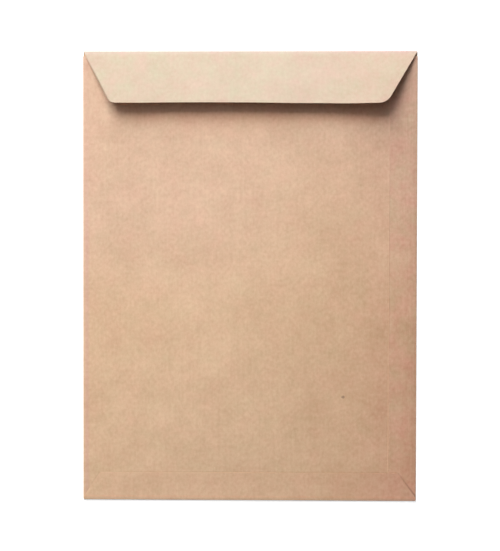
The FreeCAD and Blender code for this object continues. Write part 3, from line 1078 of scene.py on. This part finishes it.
# %% Floor
FLOOR_SIZE = 12
FLOOR_GAP = 0.05 * MM
FLOOR_COLOUR = (0.82, 0.82, 0.82, 1)
FLOOR_GLOW = 0.6
FAR_FLOOR = 1.2


def seen_directly(wire):
    """1 for rays from the camera, and for what mirrors and glass show of the background."""
    rays = [wire.node("ShaderNodeLightPath", output=kind)
            for kind in ("Is Camera Ray", "Is Glossy Ray", "Is Transmission Ray")]
    first = wire.math("MAXIMUM", rays[0], rays[1])
    return wire.math("MAXIMUM", first, rays[2])


bpy.ops.object.select_all(action="DESELECT")
bpy.ops.mesh.primitive_plane_add(size=FLOOR_SIZE, location=(0, 0, -FLOOR_GAP))
floor = bpy.context.object
floor.name = "pale_floor"
floor_paint = bpy.data.materials.new("floor_paint")
wire = start_material(floor_paint)
lit = wire.node("ShaderNodeBsdfDiffuse", {"Color": FLOOR_COLOUR})
place = wire.node("ShaderNodeTexCoord", output="Object")
away = wire.node("ShaderNodeVectorMath", {0: place}, output="Value", operation="LENGTH")
strength = FLOOR_GLOW + step_at(wire, away, FAR_FLOOR, FAR_FLOOR) * (1 - FLOOR_GLOW)
glow = wire.node("ShaderNodeEmission", {"Strength": seen_directly(wire) * strength})
wire.node("ShaderNodeOutputMaterial", {0: wire.node("ShaderNodeAddShader", {0: lit, 1: glow})})
floor.data.materials.append(floor_paint)
floor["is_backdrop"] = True
print("floor", FLOOR_SIZE, "by", FLOOR_SIZE, "m")

# %% [markdown]
# ## World
#
# The world is what a ray meets past the floor. It could be white and light everything from all
# round, but then the flap's shadow would wash out. So it is dim as a light and white as a background,
# and the same test as on the floor tells the two apart.

# %% World
AMBIENT = 0.04
world = bpy.data.worlds.new("studio")
bpy.context.scene.world = world
wire = start_material(world)
white_share = seen_directly(wire)
wire.node("ShaderNodeOutputWorld", {0: wire.node("ShaderNodeBackground", {
    "Color": (1, 1, 1, 1), "Strength": AMBIENT + white_share * (1 - AMBIENT)})})
print("world", AMBIENT, "as a light and 1 as a background")

# %% [markdown]
# ## Light
#
# The closing flap throws a soft shadow down and to the right. So the main light is a large soft box
# at the upper left, low over the floor at about 26 degrees. It isn't far away: the near corner of the
# envelope gets nearly half as much light again as the far one. A wider, weaker box stands above it
# and softens the shadow's end, and a small one close by at the left adds a little there. Their power
# is set so that a level surface in the middle renders about in the colour that was written.

# %% Soft boxes
def add_soft_box(name, azimuth, elevation, distance, size, power):
    """Hang a square soft box that faces the envelope. Its azimuth is to the left of the top, in degrees."""
    azimuth, elevation = math.radians(azimuth), math.radians(elevation)
    toward = Vector((
        -math.sin(azimuth) * math.cos(elevation),
        math.cos(azimuth) * math.cos(elevation),
        math.sin(elevation)))
    bpy.ops.object.light_add(type="AREA", location=toward * distance)
    soft_box = bpy.context.object
    soft_box.name = name
    soft_box.rotation_euler = toward.to_track_quat("Z", "Y").to_euler()
    soft_box.data.shape = "SQUARE"
    soft_box.data.size = size
    soft_box.data.energy = power
    print(name, "at", [round(value, 2) for value in soft_box.location])


add_soft_box("key_box", azimuth=22, elevation=26.3, distance=3.0, size=2.2, power=169)
add_soft_box("high_box", azimuth=22, elevation=50, distance=3.0, size=3.5, power=23)
add_soft_box("left_box", azimuth=95, elevation=35, distance=1.1, size=0.5, power=0.8)

# %% [markdown]
# ## Camera
#
# The camera looks almost straight down, from about a metre away. Its place was worked out from where
# the corners of the envelope lie in the picture, 260 by 350 mm apart. It could be moved by eye until
# the picture fits, but four corners and a sum come closer.

# %% Camera
CAMERA_PLACE = (19.35 * MM, 21.14 * MM, 1013.86 * MM)
CAMERA_TURN = (-1.154, 1.078, 0.103)
LENS = 85

bpy.ops.object.camera_add(
    location=CAMERA_PLACE, rotation=[math.radians(angle) for angle in CAMERA_TURN])
camera = bpy.context.object
camera.data.lens = LENS
camera.data.clip_start = 0.01
bpy.context.scene.camera = camera
bpy.context.scene.view_settings.view_transform = "Standard"
print("camera", round(camera.location.z, 2), "m above the floor, with a lens of", LENS, "mm")

# %% [markdown]
# ## The two boxes
#
# The box of the construction and the box of the visual model are both printed. The visual model may
# not be larger than the construction.

# %% Print the sizes and finish
visual_box = [list(corner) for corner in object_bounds()]
for name, box in (("construction", cad_box), ("visual", visual_box)):
    print(name, [[round(value / MM, 2) for value in corner] for corner in box])
